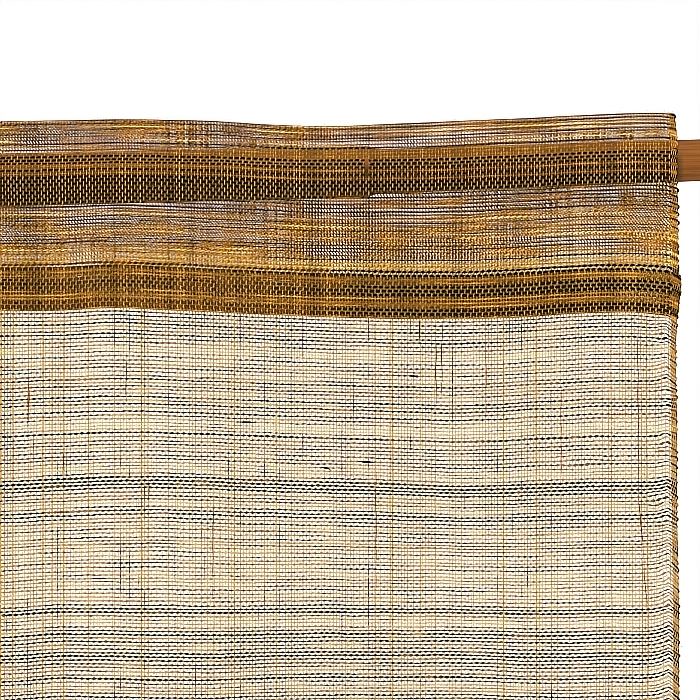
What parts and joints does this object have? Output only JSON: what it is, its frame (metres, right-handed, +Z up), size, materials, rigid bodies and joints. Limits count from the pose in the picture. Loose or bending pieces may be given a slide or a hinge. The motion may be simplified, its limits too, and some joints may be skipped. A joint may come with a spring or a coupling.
{
  "type": "noren curtain on a rod",
  "caption": "Split doorway curtain of sheer open-weave hemp on a smoked bamboo rod, with a doubled rod-pocket heading and plain turned hems.",
  "frame": {"origin": "on the rod's axis, halfway along the rod", "axes": "+X along the rod towards its thinner end, -Y towards the viewer of the curtain's front, +Z up"},
  "size_m": [1.0004, 0.0216, 0.9032],
  "materials": {
    "cloth": "sheer open plain weave of golden hemp warps and wefts in black-brown, brown, ochre and cream",
    "bamboo": "smoked bamboo culm, satin, fine lengthwise grain and low nodes"
  },
  "bodies": {
    "root": {"rod": "bamboo", "panel_left": "cloth", "panel_right": "cloth"}
  },
  "joints": []
}
